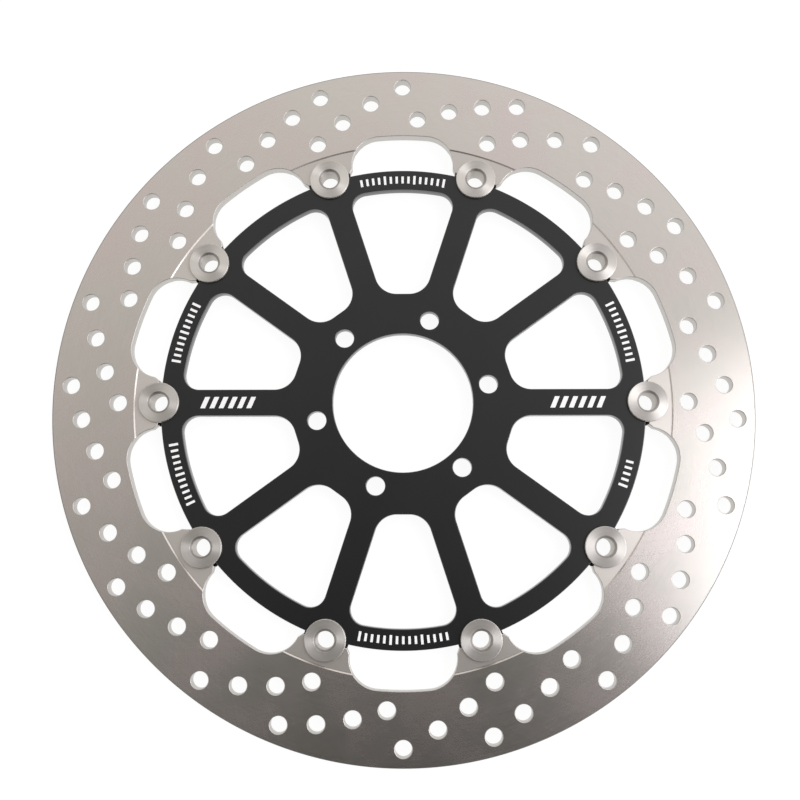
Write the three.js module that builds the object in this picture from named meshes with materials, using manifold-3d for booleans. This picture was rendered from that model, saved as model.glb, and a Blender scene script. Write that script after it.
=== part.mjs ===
// A floating brake disc for a motorcycle wheel, lying flat with its outer face up, in millimetres.
// A drilled steel ring is carried on an aluminium carrier by ten hollow bobbins. Each bobbin sits
// in two half-round notches, one in a lug of the ring and one in the carrier's rim, and is kept
// there by a flat washer, a wave washer and a circlip at the back.
// Z is the wheel's axis, and Z = 0 is the plane of the bobbins' back ends.
import * as THREE from "three";
import { mergeVertices } from "three/addons/utils/BufferGeometryUtils.js";
import Module from "manifold-3d";

// The ring
const ringRadius = 160;
const ringThickness = 5.5;
const lugThickness = 4.6;
const stepRadius = 122.8; // where the lug faces step up to the friction faces
const lugTipRadius = 112;
const lugCornerHalfWidth = 10.2;
const scallopRadius = 127.6;
const scallopCorner = 13.4;
const scallopCornerAngle = 12.75; // degrees from the nearest bobbin
const lugSideAngle = -82; // direction from a scallop corner's centre to where the lug's side starts
const drillRadius = 3.8;

// The two slanted rows of drilled holes that each bobbin's sector holds
const holeRows = [
  { count: 4, firstAngle: -18, firstRadius: 151.8, radiusStep: -7.33 },
  { count: 4, firstAngle: -3, firstRadius: 151.8, radiusStep: -5.33 },
];
const holeAngleStep = 6;

// The carrier
const rimRadius = 110.4;
const carrierThickness = 5;
const boreRadius = 32;
const boltCircleRadius = 40;
const boltHoleRadius = 4.25;
const boltCount = 6;
const firstBoltAngle = 12;
const spokeHalfWidth = 6;
const windowInnerX = 50.8;
const windowInnerCorner = 10;
const windowOuterRadius = 101.1;
const windowOuterCorner = 7;

// The bobbins and what holds them
const bobbinCount = 10;
const bobbinCircleRadius = 111.2;
const notchRadius = 7;
const barrelRadius = 6.75;
const flangeRadius = 9.2;
const flangeThickness = 1.4;
const flangeBevel = 0.5;
const bobbinBoreRadius = 4;
const countersinkRadius = 5.8;
const countersinkDepth = 1;
const lipHeight = 0.7;
const grooveHeight = 1.2;
const grooveRadius = 6.2;
const clipThickness = 1;
const clipInnerRadius = 6.4;
const clipOuterRadius = 8.3;
const clipOpening = 22; // degrees from the clip's middle line to each end
const clipEarRadius = 1.7;
const clipEarSpread = 16; // degrees from an ear's middle to where it runs into the clip's outer edge
const clipEarFoot = 8; // degrees from an ear's middle to the end of the clip's inner edge
const washerInnerRadius = 7;
const washerOuterRadius = 10.2;
const flatWasherThickness = 0.8;
const waveWasherThickness = 0.4;
const waveHeight = 0.55;
const waveCount = 3;
const waveSteps = 6; // facets in one wave
const play = 0.05; // between the pieces of one stack
const flangePlay = 0.1; // between the carrier and the flange or the washer

// The angle that one facet spans, in degrees
const wheelFacet = 3; // on arcs about the wheel's axis
const boreFacet = 9;
const cornerFacet = 15; // on the corners of lugs and windows
const bobbinFacet = 22.5; // on bobbins, notches, washers and bolt holes
const drillFacet = 45;

// The stack, from the back ends of the bobbins up
const clipZ = lipHeight + 2 * play;
const waveZ = clipZ + clipThickness + play;
const flatWasherZ = waveZ + waveWasherThickness + waveHeight + play;
const carrierZ = flatWasherZ + flatWasherThickness + flangePlay;
const middleZ = carrierZ + carrierThickness / 2;
const flangeZ = carrierZ + carrierThickness + flangePlay;
const topZ = flangeZ + flangeThickness;

const sector = 360 / bobbinCount;
const radians = THREE.MathUtils.degToRad;
const degrees = THREE.MathUtils.radToDeg;
const axis = new THREE.Vector2(0, 0);
const polar = (radius, angle) =>
  new THREE.Vector2(radius * Math.cos(radians(angle)), radius * Math.sin(radians(angle)));

// Points of an arc about a centre, from one angle to another in degrees, both ends included.
function arc(centre, radius, from, to, facet) {
  const steps = Math.max(1, Math.round(Math.abs(to - from) / facet));
  const points = [];
  for (let i = 0; i <= steps; i++) points.push(polar(radius, from + ((to - from) * i) / steps).add(centre));
  return points;
}

// Points of a full circle, without the repeated last point.
const circle = (centre, radius, facet) => arc(centre, radius, 0, 360, facet).slice(0, -1);
const turned = (points, angle) => points.map((p) => p.clone().rotateAround(axis, radians(angle)));
const mirrored = (points) => points.map((p) => new THREE.Vector2(p.x, -p.y)).reverse();
const aroundBobbins = (points) =>
  Array.from({ length: bobbinCount }, (_, i) => turned(points, i * sector));

// A plate between two heights: an outline with holes, all of them lists of points.
function plate(outline, holes, bottom, thickness) {
  const shape = new THREE.Shape(outline);
  for (const hole of holes) shape.holes.push(new THREE.Path(hole));
  const geometry = new THREE.ExtrudeGeometry(shape, { depth: thickness, bevelEnabled: false });
  return geometry.translate(0, 0, bottom);
}

// A turned piece: its profile is [radius, height] pairs that close on themselves.
function turning(profile, facet) {
  const points = [...profile, profile[0]].map(([radius, height]) => new THREE.Vector2(radius, height));
  return new THREE.LatheGeometry(points, 360 / facet).rotateX(Math.PI / 2);
}

// manifold-3d cuts one closed geometry from another.
const wasm = await Module();
wasm.setup();
function solid(geometry) {
  const bare = geometry.clone();
  bare.deleteAttribute("normal");
  bare.deleteAttribute("uv");
  const merged = mergeVertices(bare, 1e-4);
  const vertProperties = new Float32Array(merged.attributes.position.array);
  return new wasm.Manifold(
    new wasm.Mesh({ numProp: 3, vertProperties, triVerts: new Uint32Array(merged.index.array) }),
  );
}
function cut(body, tools) {
  let rest = solid(body);
  for (const tool of tools) rest = rest.subtract(solid(tool));
  const { vertProperties, triVerts } = rest.getMesh();
  const geometry = new THREE.BufferGeometry();
  geometry.setAttribute("position", new THREE.BufferAttribute(new Float32Array(vertProperties), 3));
  geometry.setIndex(new THREE.BufferAttribute(new Uint32Array(triVerts), 1));
  geometry.computeVertexNormals();
  return geometry;
}

// One side of a lug and half of the scallop beside it, from the bobbin's notch outwards.
function lugSide() {
  const bobbin = new THREE.Vector2(bobbinCircleRadius, 0);
  const cornerCentre = polar(scallopRadius - scallopCorner, scallopCornerAngle);
  const tipX = Math.sqrt(lugTipRadius ** 2 - notchRadius ** 2);
  const notchEnd = degrees(Math.acos((tipX - bobbinCircleRadius) / notchRadius));
  return [
    ...arc(bobbin, notchRadius, 0, notchEnd, bobbinFacet).slice(1),
    new THREE.Vector2(lugTipRadius, lugCornerHalfWidth),
    ...arc(cornerCentre, scallopCorner, lugSideAngle, scallopCornerAngle, cornerFacet),
    ...arc(axis, scallopRadius, scallopCornerAngle, sector / 2, wheelFacet).slice(1),
  ];
}

// The ring's inner edge runs through every scallop and round every lug.
function ringGeometry() {
  const side = lugSide();
  const lug = [...mirrored(side), new THREE.Vector2(bobbinCircleRadius + notchRadius, 0), ...side];
  const innerEdge = aroundBobbins(lug.slice(0, -1)).flat();
  const drilled = [];
  for (const row of holeRows)
    for (let i = 0; i < row.count; i++) {
      const centre = polar(row.firstRadius + i * row.radiusStep, row.firstAngle + i * holeAngleStep);
      drilled.push(...aroundBobbins(circle(centre, drillRadius, drillFacet)));
    }
  const outline = circle(axis, ringRadius, wheelFacet);
  const body = plate(outline, [innerEdge, ...drilled], middleZ - ringThickness / 2, ringThickness);
  const recess = (bottom) => plate(circle(axis, stepRadius, wheelFacet), [], bottom, ringThickness);
  const above = recess(middleZ + lugThickness / 2);
  const below = recess(middleZ - lugThickness / 2 - ringThickness);
  return cut(body, [above, below]);
}

// A window between two spokes, drawn about the X axis: straight inner end, sides along the
// spokes, and an outer arc about the wheel's axis.
function windowOutline() {
  const half = sector / 2;
  const along = polar(1, half);
  const inward = new THREE.Vector2(along.y, -along.x);
  const beside = (distance, offset) =>
    along.clone().multiplyScalar(distance).addScaledVector(inward, offset);

  const innerOffset = spokeHalfWidth + windowInnerCorner;
  const innerDistance = (windowInnerX + windowInnerCorner - innerOffset * inward.x) / along.x;
  const innerCentre = beside(innerDistance, innerOffset);
  const outerOffset = spokeHalfWidth + windowOuterCorner;
  const outerDistance = Math.sqrt((windowOuterRadius - windowOuterCorner) ** 2 - outerOffset ** 2);
  const outerCentre = beside(outerDistance, outerOffset);
  const outerAngle = degrees(outerCentre.angle());

  const upper = [
    ...arc(axis, windowOuterRadius, 0, outerAngle, wheelFacet).slice(1),
    ...arc(outerCentre, windowOuterCorner, outerAngle, 90 + half, cornerFacet).slice(1),
    ...arc(innerCentre, windowInnerCorner, 90 + half, 180, cornerFacet),
  ];
  return [new THREE.Vector2(windowOuterRadius, 0), ...upper, ...mirrored(upper)];
}

// The carrier's rim has a half-round notch at each bobbin.
function carrierGeometry() {
  const cosine = (rimRadius ** 2 + bobbinCircleRadius ** 2 - notchRadius ** 2) /
    (2 * rimRadius * bobbinCircleRadius);
  const notchAngle = degrees(Math.acos(cosine));
  const notchCorner = polar(rimRadius, notchAngle);
  const bobbin = new THREE.Vector2(bobbinCircleRadius, 0);
  const start = degrees(notchCorner.clone().sub(bobbin).angle());
  const notchAndRim = [
    ...arc(bobbin, notchRadius, 360 - start, start, bobbinFacet),
    ...arc(axis, rimRadius, notchAngle, sector - notchAngle, wheelFacet).slice(1, -1),
  ];
  const outline = aroundBobbins(notchAndRim).flat();
  const bolts = Array.from({ length: boltCount }, (_, i) =>
    circle(polar(boltCircleRadius, firstBoltAngle + (i * 360) / boltCount), boltHoleRadius, bobbinFacet),
  );
  const windows = aroundBobbins(turned(windowOutline(), sector / 2));
  const bore = circle(axis, boreRadius, boreFacet);
  return plate(outline, [bore, ...bolts, ...windows], carrierZ, carrierThickness);
}

const bobbinGeometry = () =>
  turning(
    [
      [bobbinBoreRadius, 0],
      [barrelRadius, 0],
      [barrelRadius, lipHeight],
      [grooveRadius, lipHeight],
      [grooveRadius, lipHeight + grooveHeight],
      [barrelRadius, lipHeight + grooveHeight],
      [barrelRadius, flangeZ],
      [flangeRadius, flangeZ],
      [flangeRadius, topZ - flangeBevel],
      [flangeRadius - flangeBevel, topZ],
      [countersinkRadius, topZ],
      [bobbinBoreRadius, topZ - countersinkDepth],
    ],
    bobbinFacet,
  );

const flatWasherGeometry = () =>
  plate(
    circle(axis, washerOuterRadius, bobbinFacet),
    [circle(axis, washerInnerRadius, bobbinFacet)],
    flatWasherZ,
    flatWasherThickness,
  );

// A ring of flat section whose height follows a cosine wave round its circle.
function waveWasherGeometry() {
  const steps = waveSteps * waveCount;
  const corners = [
    [washerInnerRadius, 0],
    [washerOuterRadius, 0],
    [washerOuterRadius, waveWasherThickness],
    [washerInnerRadius, waveWasherThickness],
  ];
  const positions = [];
  const index = [];
  for (let i = 0; i < steps; i++) {
    const turn = (2 * Math.PI * i) / steps;
    const lift = (waveHeight / 2) * (1 + Math.cos(waveCount * turn));
    for (const [radius, height] of corners)
      positions.push(radius * Math.cos(turn), radius * Math.sin(turn), waveZ + height + lift);
    for (let j = 0; j < 4; j++) {
      const a = 4 * i + j;
      const b = 4 * i + ((j + 1) % 4);
      const c = 4 * ((i + 1) % steps) + ((j + 1) % 4);
      const d = 4 * ((i + 1) % steps) + j;
      index.push(a, c, b, a, d, c);
    }
  }
  const geometry = new THREE.BufferGeometry();
  geometry.setAttribute("position", new THREE.Float32BufferAttribute(positions, 3));
  geometry.setIndex(index);
  geometry.computeVertexNormals();
  return geometry;
}

// An open ring with a round ear at each end of its opening, which faces the wheel's rim.
function circlipGeometry() {
  const middle = (clipInnerRadius + clipOuterRadius) / 2;
  const ear = (side) => polar(middle + clipEarRadius / 2, side * clipOpening);
  const outerEnd = clipOpening + clipEarSpread;
  const innerEnd = clipOpening - clipEarFoot;
  const earBack = clipOpening + 120; // direction in which an ear's edge runs into the clip's
  const outline = [
    ...arc(axis, clipOuterRadius, outerEnd, 360 - outerEnd, bobbinFacet),
    ...arc(ear(-1), clipEarRadius, -earBack, 90, bobbinFacet),
    ...arc(axis, clipInnerRadius, 360 - innerEnd, innerEnd, bobbinFacet),
    ...arc(ear(1), clipEarRadius, -90, earBack, bobbinFacet),
  ];
  return plate(outline, [], clipZ, clipThickness);
}

function piece(name, geometry, colour, roughness, metalness) {
  const material = new THREE.MeshStandardMaterial({ color: colour, roughness, metalness });
  const mesh = new THREE.Mesh(geometry, material);
  mesh.name = name;
  return mesh;
}

const group = new THREE.Group();
group.add(piece("brake_rotor", ringGeometry(), 0xb4aca4, 0.35, 1));
group.add(piece("carrier", carrierGeometry(), 0x2b2b2d, 0.55, 0.6));
for (let i = 0; i < bobbinCount; i++) {
  const label = String(i + 1).padStart(2, "0");
  const stack = new THREE.Group();
  stack.rotation.z = radians(i * sector);
  const place = new THREE.Group();
  place.position.x = bobbinCircleRadius;
  stack.add(place);
  place.add(piece("bobbin_" + label, bobbinGeometry(), 0xc2bdb6, 0.3, 1));
  place.add(piece("flat_washer_" + label, flatWasherGeometry(), 0x55534f, 0.5, 1));
  place.add(piece("wave_washer_" + label, waveWasherGeometry(), 0x6a665f, 0.45, 1));
  place.add(piece("circlip_" + label, circlipGeometry(), 0x3a3a3a, 0.5, 1));
  group.add(stack);
}

export default group;
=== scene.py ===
"""A floating brake disc lying on a pale floor, outer face up.

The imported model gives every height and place. The pieces here are finer versions of its solids:
plates with rounded edges, turned bobbins, washers and clips, with their metal finishes.
Lengths are in millimetres until a mesh is made.
"""

import bmesh
import bpy
import numpy as np
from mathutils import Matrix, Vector
from mathutils.geometry import tessellate_polygon


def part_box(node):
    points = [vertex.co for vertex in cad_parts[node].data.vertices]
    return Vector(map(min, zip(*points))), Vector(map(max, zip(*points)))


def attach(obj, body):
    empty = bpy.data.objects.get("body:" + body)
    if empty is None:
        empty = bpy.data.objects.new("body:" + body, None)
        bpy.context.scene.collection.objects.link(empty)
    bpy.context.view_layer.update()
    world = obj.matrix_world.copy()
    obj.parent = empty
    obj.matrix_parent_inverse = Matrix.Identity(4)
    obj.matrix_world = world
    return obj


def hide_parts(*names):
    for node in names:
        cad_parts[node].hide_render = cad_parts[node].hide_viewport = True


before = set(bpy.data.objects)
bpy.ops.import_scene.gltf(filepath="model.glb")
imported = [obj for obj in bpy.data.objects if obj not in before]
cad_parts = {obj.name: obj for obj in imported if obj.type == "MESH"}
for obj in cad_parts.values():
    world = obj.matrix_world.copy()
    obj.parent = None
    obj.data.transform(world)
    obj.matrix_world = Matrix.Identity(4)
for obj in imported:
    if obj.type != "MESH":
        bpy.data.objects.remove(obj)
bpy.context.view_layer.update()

MM = 0.001
BOBBINS = 10
SECTOR = 360 / BOBBINS


def heights(node):
    """The lowest and highest level of a node, in millimetres."""
    low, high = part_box(node)
    return low.z / MM, high.z / MM


def middle(node):
    """The middle of a node seen from above, in millimetres."""
    low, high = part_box(node)
    return np.array([low.x + high.x, low.y + high.y]) / (2 * MM)


# Measures of the ring
RING_LOW, RING_HIGH = heights("brake_rotor")
RING_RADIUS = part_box("brake_rotor")[1].x / MM
LUG_DROP = 0.45
STEP_OUTER = 122.8
STEP_INNER = 122.2
LUG_TIP = 112.0
LUG_CORNER = 10.2
SCALLOP_RADIUS = 127.6
SCALLOP_CORNER = 13.4
SCALLOP_CORNER_ANGLE = 12.75
DRILL_RADIUS = 3.8
HOLE_ROWS = ((-18, 151.8, -7.33), (-3, 151.8, -5.33))
HOLES_IN_ROW = 4
HOLE_ANGLE_STEP = 6

# Measures of the carrier
CARRIER_LOW, CARRIER_HIGH = heights("carrier")
RIM_RADIUS = 110.4
BORE_RADIUS = 32.0
BOLT_CIRCLE = 40.0
BOLT_HOLE = 4.25
BOLTS = 6
FIRST_BOLT = 12
SPOKE_HALF_WIDTH = 6.0
WINDOW_INNER = 50.8
WINDOW_INNER_CORNER = 10.0
WINDOW_OUTER = 101.1
WINDOW_OUTER_CORNER = 7.0

# Measures of the bobbins and what holds them
BOBBIN_CIRCLE = middle("bobbin_01")[0]
BOBBIN_TOP = heights("bobbin_01")[1]
FLANGE_LOW = CARRIER_HIGH + 0.1
FLANGE_RADIUS = 9.2
BARREL_RADIUS = 6.75
NOTCH_RADIUS = 7.0
BOBBIN_BORE = 4.0
COUNTERSINK = 5.1
GROOVE_RADIUS = 6.2
GROOVE_LOW, GROOVE_HIGH = 0.7, 1.9
WASHER_INNER, WASHER_OUTER = 7.0, 10.2
CLIP_INNER, CLIP_OUTER = 6.4, 8.3
CLIP_OPENING = 22
CLIP_EAR = 1.7
CLIP_EAR_FOOT = 8
CLIP_EAR_SPREAD = 16
CLIP_EAR_HOLE = 0.75


# ---------------------------------------------------------------- outlines


def polar(radius, degrees):
    """A point, or an array of points, at a radius and an angle from +X."""
    turn = np.radians(degrees)
    return np.stack([radius * np.cos(turn), radius * np.sin(turn)], -1)


def arc(centre, radius, start, end, count):
    """Points at equal steps of angle on a circle: centre + radius (cos, sin)."""
    return np.asarray(centre) + polar(radius, np.linspace(start, end, count))


def circle(centre, radius, count):
    """A closed loop of points on a circle, without the repeated last point."""
    return arc(centre, radius, 0, 360, count + 1)[:-1]


def turned(points, degrees):
    """The points turned about the wheel's axis."""
    c, s = np.cos(np.radians(degrees)), np.sin(np.radians(degrees))
    return points @ np.array([[c, s], [-s, c]])


def mirrored(points):
    """The points mirrored in the X axis and taken in the opposite order."""
    return points[::-1] * [1, -1]


def all_round(points):
    """One loop made of a sector's points turned into every sector in order."""
    return np.concatenate([turned(points, k * SECTOR) for k in range(BOBBINS)])


def meeting_angle(radius, centre_radius, other_radius):
    """Angle at the axis at which a circle about the axis meets one set off from it (law of cosines)."""
    cosine = (radius**2 + centre_radius**2 - other_radius**2) / (2 * radius * centre_radius)
    return np.degrees(np.arccos(cosine))


def lug_side(inset):
    """From a lug's middle round its notch, tip and side to the middle of the scallop beside it.

    Inset moves every arc into the metal: the hollow arcs grow and so do the tip and the scallop.
    The points where the side crosses the two step circles are among them.
    """
    bobbin = np.array([BOBBIN_CIRCLE, 0])
    notch = NOTCH_RADIUS + inset
    tip = LUG_TIP + inset
    tip_start = meeting_angle(tip, BOBBIN_CIRCLE, notch)
    at_notch = polar(tip, tip_start) - bobbin
    tip_end = np.degrees(np.arcsin((LUG_CORNER - 0.8 * inset) / tip))
    corner_circle = SCALLOP_RADIUS - SCALLOP_CORNER
    corner = polar(corner_circle, SCALLOP_CORNER_ANGLE)
    corner_radius = SCALLOP_CORNER + inset

    def crossing(radius):
        """Angle on the corner's circle at which it crosses a circle about the axis."""
        angle = SCALLOP_CORNER_ANGLE - meeting_angle(radius, corner_circle, corner_radius)
        away = polar(radius, angle) - corner
        return np.degrees(np.arctan2(away[1], away[0]))

    inner, outer = crossing(STEP_INNER), crossing(STEP_OUTER)
    return np.concatenate([
        arc(bobbin, notch, 0, np.degrees(np.arctan2(at_notch[1], at_notch[0])), 16),
        arc([0, 0], tip, tip_start, tip_end, 4)[1:],
        arc(corner, corner_radius, -80, inner, 16),
        arc(corner, corner_radius, outer, SCALLOP_CORNER_ANGLE, 14),
        arc([0, 0], SCALLOP_RADIUS + inset, SCALLOP_CORNER_ANGLE, SECTOR / 2, 6)[1:],
    ])


INNER_STEP_POINT = 16 + 3 + 15  # number of lug_side's point on the inner step circle
OUTER_STEP_POINT = INNER_STEP_POINT + 1


def ring_inner_edge(inset):
    """The ring's whole inner edge, lug by lug."""
    side = lug_side(inset)
    return all_round(np.concatenate([mirrored(side)[1:], side[1:]]))


def ring_outer_edge(inset):
    """The ring's outer circle."""
    return circle([0, 0], RING_RADIUS - inset, 360)


def window(inset):
    """A carrier window about the X axis; inset makes it larger by moving its edges into the metal.

    Its sides run along the two spokes, its inner end is straight with large corners, and its outer
    end is an arc about the wheel's axis.
    """
    half = SECTOR / 2
    along = polar(1, half)
    inward = np.array([along[1], -along[0]])
    offset = SPOKE_HALF_WIDTH + WINDOW_INNER_CORNER
    distance = (WINDOW_INNER + WINDOW_INNER_CORNER - offset * inward[0]) / along[0]
    inner = distance * along + offset * inward
    offset = SPOKE_HALF_WIDTH + WINDOW_OUTER_CORNER
    distance = np.sqrt((WINDOW_OUTER - WINDOW_OUTER_CORNER) ** 2 - offset**2)
    outer = distance * along + offset * inward
    outer_angle = np.degrees(np.arctan2(outer[1], outer[0]))
    upper = np.concatenate([
        arc([0, 0], WINDOW_OUTER + inset, 0, outer_angle, 16),
        arc(outer, WINDOW_OUTER_CORNER + inset, outer_angle, 90 + half, 14)[1:],
        arc(inner, WINDOW_INNER_CORNER + inset, 90 + half, 180, 14),
    ])
    return np.concatenate([upper, mirrored(upper)[:-1]])


def carrier_rim(inset):
    """The carrier's outer edge: an arc between half-round notches; inset moves it into the metal."""
    rim, notch = RIM_RADIUS - inset, NOTCH_RADIUS + inset
    start = meeting_angle(rim, BOBBIN_CIRCLE, notch)
    bobbin = np.array([BOBBIN_CIRCLE, 0])
    away = polar(rim, start) - bobbin
    turn = np.degrees(np.arctan2(away[1], away[0]))
    return all_round(np.concatenate([
        arc(bobbin, notch, 360 - turn, turn, 33),
        arc([0, 0], rim, start, SECTOR - start, 26)[1:-1],
    ]))


def drill_centres():
    """Middles of the drilled holes: two slanted rows in each bobbin's sector."""
    rows = [
        polar(radius + step * i, angle + HOLE_ANGLE_STEP * i)
        for angle, radius, step in HOLE_ROWS
        for i in range(HOLES_IN_ROW)
    ]
    return all_round(np.array(rows))


# ---------------------------------------------------------------- surfaces


LEVEL = 0.9999  # a face whose normal is at least this upright is shaded flat


class Solid:
    """Vertices and faces gathered from surfaces; each face has the number of its finish."""

    def __init__(self):
        self.vertices, self.faces, self.finishes, self.count = [], [], [], 0

    def add(self, vertices, faces, finish):
        self.vertices.append(np.asarray(vertices, float).reshape(-1, 3))
        self.faces += (np.asarray(faces) + self.count).tolist()
        self.finishes += [finish] * len(faces)
        self.count += len(self.vertices[-1])

    def grid(self, points, finish=0, closed=True, round_rows=False):
        """Quads between neighbouring rows and columns; columns close on themselves, and rows may."""
        rows, columns = points.shape[:2]
        number = np.arange(rows * columns).reshape(rows, columns)
        if closed:
            number = np.concatenate([number, number[:, :1]], 1)
        if round_rows:
            number = np.concatenate([number, number[:1]], 0)
        quads = np.stack([number[:-1, :-1], number[1:, :-1], number[1:, 1:], number[:-1, 1:]], -1)
        self.add(points, quads.reshape(-1, 4), finish)

    def flat(self, loops, height, finish=0):
        """A level face inside the first loop and outside the others."""
        level = [np.column_stack([loop, np.full(len(loop), height)]) for loop in loops]
        triangles = tessellate_polygon([[Vector(p) for p in loop] for loop in level])
        self.add(np.concatenate(level), np.array(triangles), finish)

    def edge(self, outline, low, high, rounding, finish=0, rows=5):
        """A plate's wall with a quarter-round edge at its top and bottom.

        The outline is a function of how far in from the wall it runs. Round the top edge that
        distance is r (1 - sin t) at a depth r (1 - cos t), with t from 0 to a right angle.
        """
        t = np.linspace(0, np.pi / 2, rows)
        inset, depth = rounding * (1 - np.sin(t)), rounding * (1 - np.cos(t))
        loops = np.stack([outline(i) for i in inset])
        top = np.broadcast_to(high, loops.shape[1])[None, :] - depth[:, None]
        bottom = np.broadcast_to(low, loops.shape[1])[None, :] + depth[::-1, None]
        upper = np.concatenate([loops, top[..., None]], -1)
        lower = np.concatenate([loops[::-1], bottom[..., None]], -1)
        self.grid(np.concatenate([upper, lower]), finish)

    def turning(self, profile, centre, steps, finish=0):
        """A closed profile of radius and height carried round an upright axis."""
        profile = np.asarray(profile, float)
        angle = np.linspace(0, 2 * np.pi, steps, endpoint=False)
        x = centre[0] + profile[:, :1] * np.cos(angle)
        y = centre[1] + profile[:, :1] * np.sin(angle)
        z = np.broadcast_to(profile[:, 1:], x.shape)
        self.grid(np.stack([x, y, z], -1), finish, round_rows=True)

    def piece(self, name, finishes, body, stands_for, slot, crease=32):
        """Makes the object: seams closed, faces outwards, edges sharper than the crease kept sharp."""
        mesh = bpy.data.meshes.new(name)
        mesh.from_pydata((np.concatenate(self.vertices) * MM).tolist(), [], self.faces)
        mesh.polygons.foreach_set("material_index", np.array(self.finishes, np.int32))
        work = bmesh.new()
        work.from_mesh(mesh)
        bmesh.ops.remove_doubles(work, verts=work.verts, dist=2e-6)
        bmesh.ops.recalc_face_normals(work, faces=work.faces)
        work.to_mesh(mesh)
        work.free()
        mesh.set_sharp_from_angle(angle=np.radians(crease))
        normals = np.empty(3 * len(mesh.polygons), np.float32)
        mesh.polygons.foreach_get("normal", normals)
        mesh.polygons.foreach_set("use_smooth", np.abs(normals[2::3]) < LEVEL)
        for finish in finishes:
            mesh.materials.append(finish)
        obj = bpy.data.objects.new(name, mesh)
        bpy.context.scene.collection.objects.link(obj)
        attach(obj, body)
        if stands_for:
            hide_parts(stands_for)
        return obj


# ---------------------------------------------------------------- finishes


class Number:
    """A shader socket's number, which takes part in sums, products and powers as numbers do."""

    def __init__(self, nodes, socket):
        self.nodes, self.socket = nodes, socket

    def maths(self, operation, first, second):
        return self.nodes.node("Math", {"operation": operation}, first, second)["Value"]

    def __add__(self, other):
        return self.maths("ADD", self, other)

    def __mul__(self, other):
        return self.maths("MULTIPLY", self, other)

    def __sub__(self, other):
        return self.maths("SUBTRACT", self, other)

    def __rsub__(self, other):
        return self.maths("SUBTRACT", other, self)

    def __truediv__(self, other):
        return self.maths("DIVIDE", self, other)

    def __pow__(self, other):
        return self.maths("POWER", self, other)

    __radd__, __rmul__ = __add__, __mul__

    def sine(self):
        return self.maths("SINE", self, 0.0)

    def cosine(self):
        return self.maths("COSINE", self, 0.0)

    def ramp(self, start, end):
        """0 below start, 1 above end and smooth between."""
        settings = {"interpolation_type": "SMOOTHSTEP"}
        return self.nodes.node("MapRange", settings, self, start, end)["Result"]


class Nodes:
    """A node tree that is built from expressions."""

    def __init__(self, owner):
        owner.use_nodes = True
        self.tree = owner.node_tree

    def node(self, kind, settings, *values, **named):
        """Adds a node, sets it up, feeds its sockets and returns its outputs by name."""
        made = self.tree.nodes.new("ShaderNode" + kind)
        for key, value in settings.items():
            setattr(made, key, value)
        places = dict(enumerate(values)) | {k.replace("_", " "): v for k, v in named.items()}
        for place, value in places.items():
            self.feed(made.inputs[place], value)
        return {output.name: Number(self, output) for output in made.outputs if output.enabled}

    def feed(self, socket, value):
        if isinstance(value, Number):
            self.tree.links.new(value.socket, socket)
        else:
            socket.default_value = value

    def blend(self, mask, first, second):
        """One colour fading into another as the mask rises from 0 to 1."""
        return self.node("MixRGB", {}, mask, first, second)["Color"]

    def parts(self, vector):
        """A vector's three numbers."""
        numbers = self.node("SeparateXYZ", {}, vector)
        return numbers["X"], numbers["Y"], numbers["Z"]


class Finish(Nodes):
    """A material: one principled shader and the nodes that feed it."""

    def __init__(self, name, **constants):
        self.material = bpy.data.materials.new(name)
        super().__init__(self.material)
        self.shader = self.tree.nodes["Principled BSDF"]
        self.give(**constants)

    def give(self, **fed):
        """Feeds the shader's own sockets and returns the material."""
        for place, value in fed.items():
            self.feed(self.shader.inputs[place.replace("_", " ")], value)
        return self.material

    def place(self):
        """The point on the object, in metres."""
        return self.node("TexCoord", {})["Object"]

    def noise(self, vector, scale, detail=2.0, roughness=0.5):
        settings = {"Vector": vector, "Scale": scale, "Detail": detail, "Roughness": roughness}
        return self.node("TexNoise", {}, **settings)["Fac"]

    def vector(self, x, y, z):
        return self.node("CombineXYZ", {}, x, y, z)["Vector"]

    def bump(self, height, distance, strength=1.0):
        return self.node("Bump", {}, Strength=strength, Distance=distance, Height=height)["Normal"]

    def around(self, x, y):
        """Distance from the wheel's axis, and the direction from it as two numbers."""
        radius = (x * x + y * y) ** 0.5
        return radius, x / radius, y / radius


ACROSS_GROOVES = 0.25  # a quarter turn, which spreads highlights outwards and not round the axis


def slanted_lines(finish, radius, c, s, slant):
    """Noise drawn out along spirals: the direction from the axis is turned by slant x radius."""
    turn = radius * slant
    across = c * turn.cosine() - s * turn.sine()
    along = c * turn.sine() + s * turn.cosine()
    return finish.noise(finish.vector(across * 210, along * 210, radius * 9), 1.0, 3.0, 0.6)


def ground_steel():
    """The friction faces: cross-ground, faintly clouded; the lug faces inside the step are duller."""
    finish = Finish("ground_steel", Metallic=1.0, Anisotropic=0.6, Anisotropic_Rotation=ACROSS_GROOVES)
    point = finish.place()
    x, y, z = finish.parts(point)
    radius, c, s = finish.around(x, y)
    hatch = slanted_lines(finish, radius, c, s, 9.0) + slanted_lines(finish, radius, c, s, -6.0)
    rings = finish.noise(finish.vector(radius * 2600, c * 14, s * 14), 1.0, 3.0, 0.65)
    band = radius.ramp((STEP_INNER - 0.3) * MM, STEP_INNER * MM)
    lines = hatch * band * 0.5 + rings
    cloud = finish.noise(point, 30.0, 3.0).ramp(0.35, 0.65)
    tone = finish.blend(cloud, (0.512, 0.496, 0.452, 1), (0.566, 0.486, 0.468, 1))
    tone = finish.blend(band, (0.60, 0.56, 0.52, 1), tone)
    tone = finish.blend(lines.ramp(0.6, 1.4), tone, (0.575, 0.535, 0.495, 1))
    rough = 0.38 - band * 0.18 + cloud * 0.03 + lines * 0.05
    return finish.give(Base_Color=tone, Roughness=rough, Normal=finish.bump(lines, 0.00001, 0.22))


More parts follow.
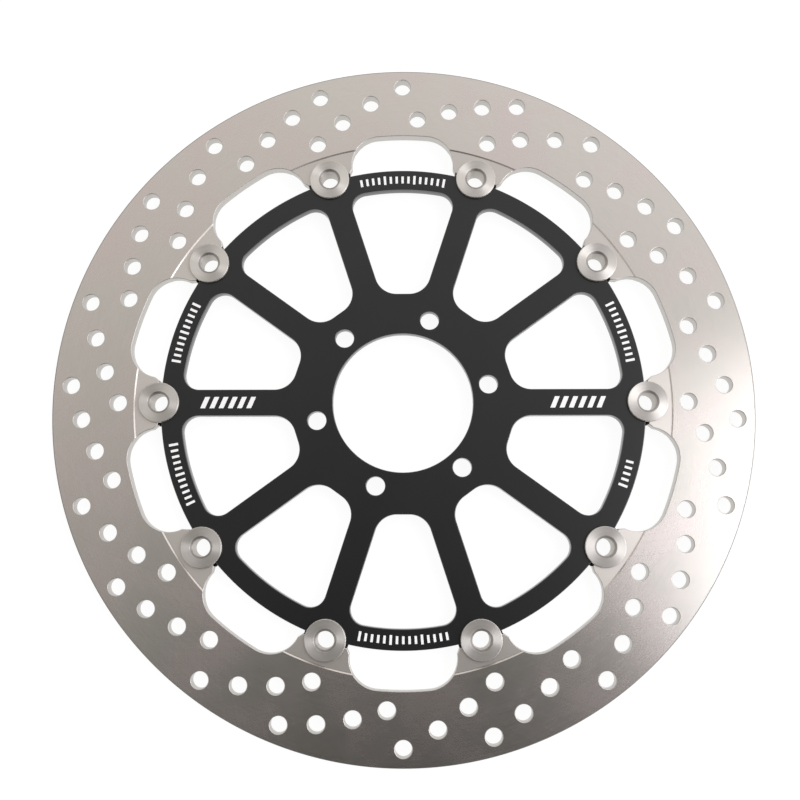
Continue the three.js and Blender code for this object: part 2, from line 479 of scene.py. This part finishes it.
def cut_steel(name, level):
    """Walls cut through the sheet, with marks that run round each edge; level is the palest tone."""
    finish = Finish(name, Metallic=1.0)
    x, y, z = finish.parts(finish.place())
    marks = finish.noise(finish.vector(x * 60, y * 60, z * 2400), 1.0, 2.0)
    dark = (0.76 * level, 0.73 * level, 0.69 * level, 1)
    tone = finish.blend(marks, dark, (level, 0.97 * level, 0.92 * level, 1))
    bump = finish.bump(marks, 0.00002, 0.4)
    return finish.give(Base_Color=tone, Roughness=0.3 + marks * 0.14, Normal=bump)


def black_anodised():
    """The carrier: satin black with a fine grain."""
    finish = Finish("black_anodised", Specular_IOR_Level=0.46)
    point = finish.place()
    grain = finish.noise(point, 2600.0, 2.0)
    cloud = finish.noise(point, 40.0, 2.0)
    tone = finish.blend(cloud, (0.005, 0.0048, 0.005, 1), (0.010, 0.0095, 0.010, 1))
    bump = finish.bump(grain, 0.00001, 0.5)
    return finish.give(Base_Color=tone, Roughness=0.25 + grain * 0.1, Normal=bump)


def milled_black():
    """The carrier's walls: the same black over the cutter's upright marks, glossier than its faces."""
    finish = Finish("milled_black", Specular_IOR_Level=0.95)
    x, y, z = finish.parts(finish.place())
    marks = finish.noise(finish.vector(x * 900, y * 900, z * 60), 1.0, 2.0)
    tone = finish.blend(marks, (0.018, 0.0175, 0.018, 1), (0.032, 0.031, 0.032, 1))
    bump = finish.bump(marks, 0.00001, 0.3)
    return finish.give(Base_Color=tone, Roughness=0.14 + marks * 0.08, Normal=bump)


def turned_steel(number):
    """A bobbin: fine lathe rings about its own axis, and painted shade darkening its countersink."""
    name = f"turned_steel_{number}"
    finish = Finish(name, Metallic=1.0, Anisotropic=0.95, Anisotropic_Rotation=ACROSS_GROOVES)
    x, y, z = finish.parts(finish.place())
    across, along = middle(f"bobbin_{number}") * MM
    radius, c, s = finish.around(x - across, y - along)
    rings = finish.noise(finish.vector(radius * 5200, c * 2, s * 2), 1.0, 2.0)
    wide = finish.noise(finish.vector(radius * 900, c, s), 1.0, 1.0)
    tone = finish.blend(wide, (0.56, 0.53, 0.49, 1), (0.65, 0.62, 0.585, 1))
    inside = radius.ramp((BOBBIN_BORE + 0.1) * MM, (BOBBIN_BORE + 0.3) * MM)
    # Painted shade: the countersink round the bore gets a darker tone below, and is also made rougher.
    painted_shade_countersink = inside * (1 - radius.ramp((COUNTERSINK - 0.2) * MM, COUNTERSINK * MM))
    tone = finish.blend(painted_shade_countersink, tone, (0.45, 0.42, 0.395, 1))
    rough = 0.3 + rings * 0.1 + painted_shade_countersink * 0.25
    return finish.give(Base_Color=tone, Roughness=rough, Normal=finish.bump(rings, 0.00001, 0.4))


def oxide_steel():
    """Flat washers and circlips: dark oxide over punched steel."""
    finish = Finish("oxide_steel", Metallic=0.9)
    cloud = finish.noise(finish.place(), 420.0, 3.0)
    tone = finish.blend(cloud, (0.035, 0.034, 0.033, 1), (0.085, 0.08, 0.075, 1))
    bump = finish.bump(cloud, 0.00003, 0.3)
    return finish.give(Base_Color=tone, Roughness=0.38 + cloud * 0.2, Normal=bump)


def spring_steel():
    """Wave washers: tempered strip, straw brown at places."""
    finish = Finish("spring_steel", Metallic=1.0)
    cloud = finish.noise(finish.place(), 160.0, 3.0)
    tone = finish.blend(cloud, (0.26, 0.245, 0.225, 1), (0.36, 0.33, 0.29, 1))
    return finish.give(Base_Color=tone, Roughness=0.28 + cloud * 0.14)


def laser_white():
    """The pale marks burnt into the black: slightly mottled."""
    finish = Finish("laser_white")
    cloud = finish.noise(finish.place(), 900.0, 2.0)
    tone = finish.blend(cloud, (0.92, 0.92, 0.91, 1), (0.98, 0.98, 0.97, 1))
    return finish.give(Base_Color=tone, Roughness=0.55 + cloud * 0.15)


# ---------------------------------------------------------------- the ring

EDGE = 0.3
RIM_EDGE = 0.5
STEP_POINTS = 25


def friction_ring():
    """The band, its ten lugs a step lower on both faces, the drilled holes and the walls."""
    solid = Solid()
    face, wall, painted_shade_outer_wall = 0, 1, 2
    side = lug_side(EDGE)
    inner_half, outer_half = side[:OUTER_STEP_POINT], side[OUTER_STEP_POINT:]
    inner_point, outer_point = inner_half[-1], outer_half[0]
    inner_reach = np.degrees(np.arctan2(inner_point[1], inner_point[0]))
    outer_reach = np.degrees(np.arctan2(outer_point[1], outer_point[0]))
    inner_arc = arc([0, 0], STEP_INNER, -inner_reach, inner_reach, STEP_POINTS)
    outer_arc = arc([0, 0], STEP_OUTER, -outer_reach, outer_reach, STEP_POINTS)
    lug_face = np.concatenate([mirrored(inner_half), inner_half[1:], inner_arc[::-1][1:-1]])
    band_inner = np.concatenate([mirrored(outer_half), outer_arc[1:-1], outer_half])

    rim = ring_outer_edge(RIM_EDGE)
    holes = [circle(centre, DRILL_RADIUS + EDGE, 32) for centre in drill_centres()]
    loops = [rim, all_round(band_inner[:-1]), *holes]
    for level, drop in ((RING_HIGH, -LUG_DROP), (RING_LOW, LUG_DROP)):
        solid.flat(loops, level, face)
        for k in range(BOBBINS):
            solid.flat([turned(lug_face, k * SECTOR)], level + drop, face)
            step = [
                np.column_stack([turned(line, k * SECTOR), np.full(STEP_POINTS, height)])
                for line, height in ((outer_arc, level), (inner_arc, level + drop))
            ]
            solid.grid(np.stack(step), face, closed=False)

    radius = np.hypot(*ring_inner_edge(EDGE).T)
    drop = LUG_DROP * np.clip((STEP_OUTER - radius) / (STEP_OUTER - STEP_INNER), 0, 1)
    solid.edge(ring_inner_edge, RING_LOW + drop, RING_HIGH - drop, EDGE, wall)
    # The outer wall gets the darker copy of the cut steel, which is painted shade.
    solid.edge(ring_outer_edge, RING_LOW, RING_HIGH, RIM_EDGE, painted_shade_outer_wall)
    for centre in drill_centres():
        solid.edge(lambda i, c=centre: circle(c, DRILL_RADIUS + i, 32), RING_LOW, RING_HIGH, EDGE, wall)
    return solid


# ---------------------------------------------------------------- the carrier


def carrier():
    """A rim with half-round notches, ten windows, six bolt holes and a bore."""
    solid = Solid()
    outlines = [carrier_rim, lambda i: circle([0, 0], BORE_RADIUS + i, 180)]
    for k in range(BOLTS):
        centre = polar(BOLT_CIRCLE, FIRST_BOLT + k * 360 / BOLTS)
        outlines.append(lambda i, c=centre: circle(c, BOLT_HOLE + i, 48))
    for k in range(BOBBINS):
        outlines.append(lambda i, turn=(k + 0.5) * SECTOR: turned(window(i), turn))
    face, wall = 0, 1
    for outline in outlines:
        solid.edge(outline, CARRIER_LOW, CARRIER_HIGH, EDGE, wall)
    for level in (CARRIER_LOW, CARRIER_HIGH):
        solid.flat([outline(EDGE) for outline in outlines], level, face)
    return solid


MARK_PROUD = 0.03
MARK_RADIUS = 105.8
MARK_PITCH = 1.5
MARK_ROWS = ((90, 15), (270, 15), (18, 11), (-18, 5), (162, 11), (198, 11))  # angle, bars
SHORT_REACH, LONG_REACH = 1.7, 2.1
MARK_HALF_ANGLE = 0.3
SLANTED_BARS = 6
SLANTED_START, SLANTED_PITCH = 67, 4.2


def prism(solid, outline, low, high):
    """A thin upright plate with square edges over an outline."""
    solid.flat([outline], low)
    solid.flat([outline], high)
    walls = [np.column_stack([outline, np.full(len(outline), level)]) for level in (low, high)]
    solid.grid(np.stack(walls))


def carrier_marks():
    """Plain bars round the rim, every fifth one longer, and slanted bars on two spokes."""
    solid = Solid()
    low, high = CARRIER_HIGH - MARK_PROUD, CARRIER_HIGH + MARK_PROUD
    for middle_angle, count in MARK_ROWS:
        for i in range(count):
            angle = middle_angle + (i - (count - 1) / 2) * MARK_PITCH
            reach = SHORT_REACH if i % 5 else LONG_REACH
            inner, outer = MARK_RADIUS - reach, MARK_RADIUS + reach
            sides = np.array([-MARK_HALF_ANGLE, MARK_HALF_ANGLE]) + angle
            corners = np.concatenate([polar(inner, sides), polar(outer, sides[::-1])])
            prism(solid, corners, low, high)
    for turn in (0, 180):
        for i in range(SLANTED_BARS):
            x = SLANTED_START + SLANTED_PITCH * i
            bar = np.array([[x, -2.6], [x + 2.2, -2.6], [x + 4.4, 2.6], [x + 2.2, 2.6]])
            prism(solid, turned(bar, turn), low, high)
    return solid


# ---------------------------------------------------------------- bobbins and their fixings


def rounded(corner_radius, corner_height, radius, start, end, count=5):
    """Quarter-round points of a profile about a centre given by radius and height."""
    return arc([corner_radius, corner_height], radius, start, end, count)


def bobbin_profile():
    """Up the outside from the back end, over the head, and down through the bore."""
    low, high = 0.0, BOBBIN_TOP
    return np.concatenate([
        [[BOBBIN_BORE, low + 0.35], [BOBBIN_BORE + 0.35, low]],
        rounded(BARREL_RADIUS - 0.3, low + 0.3, 0.3, -90, 0),
        [[BARREL_RADIUS, GROOVE_LOW], [GROOVE_RADIUS, GROOVE_LOW]],
        [[GROOVE_RADIUS, GROOVE_HIGH], [BARREL_RADIUS, GROOVE_HIGH], [BARREL_RADIUS, FLANGE_LOW]],
        rounded(FLANGE_RADIUS - 0.15, FLANGE_LOW + 0.15, 0.15, -90, 0, 3),
        rounded(FLANGE_RADIUS - 0.3, high - 0.3, 0.3, 0, 90, 7),
        [[COUNTERSINK, high], [4.3, high - 0.55], [BOBBIN_BORE, high - 1.0]],
    ])


def bobbin(number):
    solid = Solid()
    solid.turning(bobbin_profile(), middle(f"bobbin_{number}"), 96)
    return solid


def flat_washer(number):
    node = f"flat_washer_{number}"
    solid = Solid()
    centre = middle(f"bobbin_{number}")
    low, high = heights(node)
    outlines = (
        lambda i: circle(centre, WASHER_OUTER - i, 72),
        lambda i: circle(centre, WASHER_INNER + i, 72),
    )
    for outline in outlines:
        solid.edge(outline, low, high, 0.12, rows=3)
    for level in (low, high):
        solid.flat([outline(0.12) for outline in outlines], level)
    return solid


WAVES = 3
STRIP = 0.4


def wave_washer(number):
    """A flat strip bent round a circle; its height follows a cosine with three crests."""
    centre = middle(f"bobbin_{number}")
    phase = np.radians((int(number) - 1) * SECTOR)
    low, high = heights(f"wave_washer_{number}")
    turn = np.linspace(0, 2 * np.pi, 108, endpoint=False)
    lift = (high - low - STRIP) / 2 * (1 + np.cos(WAVES * (turn - phase)))
    rim = 0.1
    section = [
        (WASHER_INNER, rim), (WASHER_INNER + rim, 0), (WASHER_OUTER - rim, 0), (WASHER_OUTER, rim),
        (WASHER_OUTER, STRIP - rim), (WASHER_OUTER - rim, STRIP), (WASHER_INNER + rim, STRIP),
        (WASHER_INNER, STRIP - rim),
    ]
    rows = [
        np.column_stack([centre[0] + r * np.cos(turn), centre[1] + r * np.sin(turn), low + h + lift])
        for r, h in section
    ]
    solid = Solid()
    solid.grid(np.stack(rows), round_rows=True)
    return solid


def clip_outline(inset):
    """An open ring about the origin with a round ear at each end, opening towards +X."""
    ear = polar((CLIP_INNER + CLIP_OUTER + CLIP_EAR) / 2, CLIP_OPENING)
    radius = CLIP_EAR - inset
    half = np.concatenate([
        arc([0, 0], CLIP_INNER + inset, 180, CLIP_OPENING - CLIP_EAR_FOOT, 36),
        arc(ear, radius, -90, CLIP_OPENING + 120, 20),
        arc([0, 0], CLIP_OUTER - inset, CLIP_OPENING + CLIP_EAR_SPREAD, 180, 32),
    ])
    return np.concatenate([half, mirrored(half)[1:-1]])


def circlip(number):
    """The clip lies in its bobbin's groove with its ears towards the wheel's rim."""
    centre = middle(f"bobbin_{number}")
    turn = (int(number) - 1) * SECTOR
    low, high = heights(f"circlip_{number}")
    ear = polar((CLIP_INNER + CLIP_OUTER + CLIP_EAR) / 2, CLIP_OPENING)

    def placed(points):
        return centre + turned(points, turn)

    outlines = [lambda i: placed(clip_outline(i))]
    for side in (1, -1):
        outlines.append(lambda i, s=side: placed(circle(ear * [1, s], CLIP_EAR_HOLE + i, 20)))
    solid = Solid()
    for outline in outlines:
        solid.edge(outline, low, high, 0.1, rows=3)
    for level in (low, high):
        solid.flat([outline(0.1) for outline in outlines], level)
    return solid


# ---------------------------------------------------------------- putting it together

oxide, spring = oxide_steel(), spring_steel()
# The outer rim wall takes a much darker copy of the cut steel: painted shade that draws a dark line
# round the rim.
ring_finishes = [ground_steel(), cut_steel("drilled_steel", 0.62), cut_steel("painted_shade_rim_wall", 0.28)]
friction_ring().piece("friction_ring", ring_finishes, "ring", "brake_rotor", "ground_steel")
carrier_finishes = [black_anodised(), milled_black()]
carrier().piece("spoked_carrier", carrier_finishes, "carrier", "carrier", "black_anodised")
carrier_marks().piece("carrier_marks", [laser_white()], "carrier", None, "black_anodised")
for number in [f"{i + 1:02d}" for i in range(BOBBINS)]:
    body = "bobbin_" + number
    steel = [turned_steel(number)]
    bobbin(number).piece("turned_bobbin_" + number, steel, body, body, "turned_steel", crease=18)
    flat_washer(number).piece("washer_" + number, [oxide], body, "flat_washer_" + number, "dark_steel")
    wave_washer(number).piece("wave_" + number, [spring], body, "wave_washer_" + number, "spring_steel")
    circlip(number).piece("clip_" + number, [oxide], body, "circlip_" + number, "dark_steel")


# ---------------------------------------------------------------- floor, light and camera


def pale_floor(size=60.0, level=-0.0002):
    """A wide sheet that glows almost white, with a little of its light from the lamps."""
    mesh = bpy.data.meshes.new("floor")
    corners = [(x * size / 2, y * size / 2, level) for x, y in ((-1, -1), (1, -1), (1, 1), (-1, 1))]
    mesh.from_pydata(corners, [], [(0, 1, 2, 3)])
    floor = bpy.data.objects.new("floor", mesh)
    bpy.context.scene.collection.objects.link(floor)
    finish = Finish("pale_floor", Base_Color=(0.12, 0.12, 0.12, 1), Specular_IOR_Level=0.0)
    finish.give(Emission_Color=(1, 1, 1, 1), Emission_Strength=0.93)
    mesh.materials.append(finish.material)


def softbox(name, place, size, turn, power, colour):
    """A rectangular lamp that shines straight down, turned by an angle in degrees."""
    data = bpy.data.lights.new(name, "AREA")
    data.shape, data.size, data.size_y = "RECTANGLE", *size
    data.energy, data.color = power, colour
    lamp = bpy.data.objects.new(name, data)
    lamp.location = place
    lamp.rotation_euler.z = np.radians(turn)
    bpy.context.scene.collection.objects.link(lamp)


def sky():
    """Even light all round, darker in a wide patch high up towards -Y, where someone would stand.

    The strength depends on a direction's level parts, x and y: it rises smoothly with the distance
    from the patch's middle, a distance in which x counts for less than y.
    """
    world = bpy.data.worlds.new("studio")
    bpy.context.scene.world = world
    nodes = Nodes(world)
    x, y, z = nodes.parts(nodes.node("TexCoord", {})["Generated"])
    across, along = x / 0.85, y + 0.42
    distance = (across * across + along * along) ** 0.5
    background = nodes.tree.nodes["Background"]
    nodes.feed(background.inputs["Strength"], 0.02 + distance.ramp(0.18, 0.95) * (1.15 + 0.5 * x))
    colour = nodes.blend(x.ramp(-0.5, 0.4), (1, 0.98, 0.945, 1), (1, 0.98, 1.0, 1))
    nodes.feed(background.inputs["Color"], colour)


def camera(place=(0.00193, -0.06485, 0.4531), tilt=8.43, lean=0.43, roll=-0.06):
    """Looks down at the disc from a little towards -Y, with a normal lens; angles in degrees."""
    data = bpy.data.cameras.new("camera")
    data.lens, data.sensor_width = 44.37, 36
    data.clip_start, data.clip_end = 0.01, 20
    eye = bpy.data.objects.new("camera", data)
    eye.location = place
    eye.rotation_euler = np.radians([tilt, lean, roll])
    bpy.context.scene.collection.objects.link(eye)
    bpy.context.scene.camera = eye


pale_floor()
sky()
softbox("right_box", (0.87, -0.11, 1.0), (0.8, 0.56), -14, 4.9, (0.98, 1.0, 1.06))
camera()
bpy.context.scene.view_settings.view_transform = "Standard"
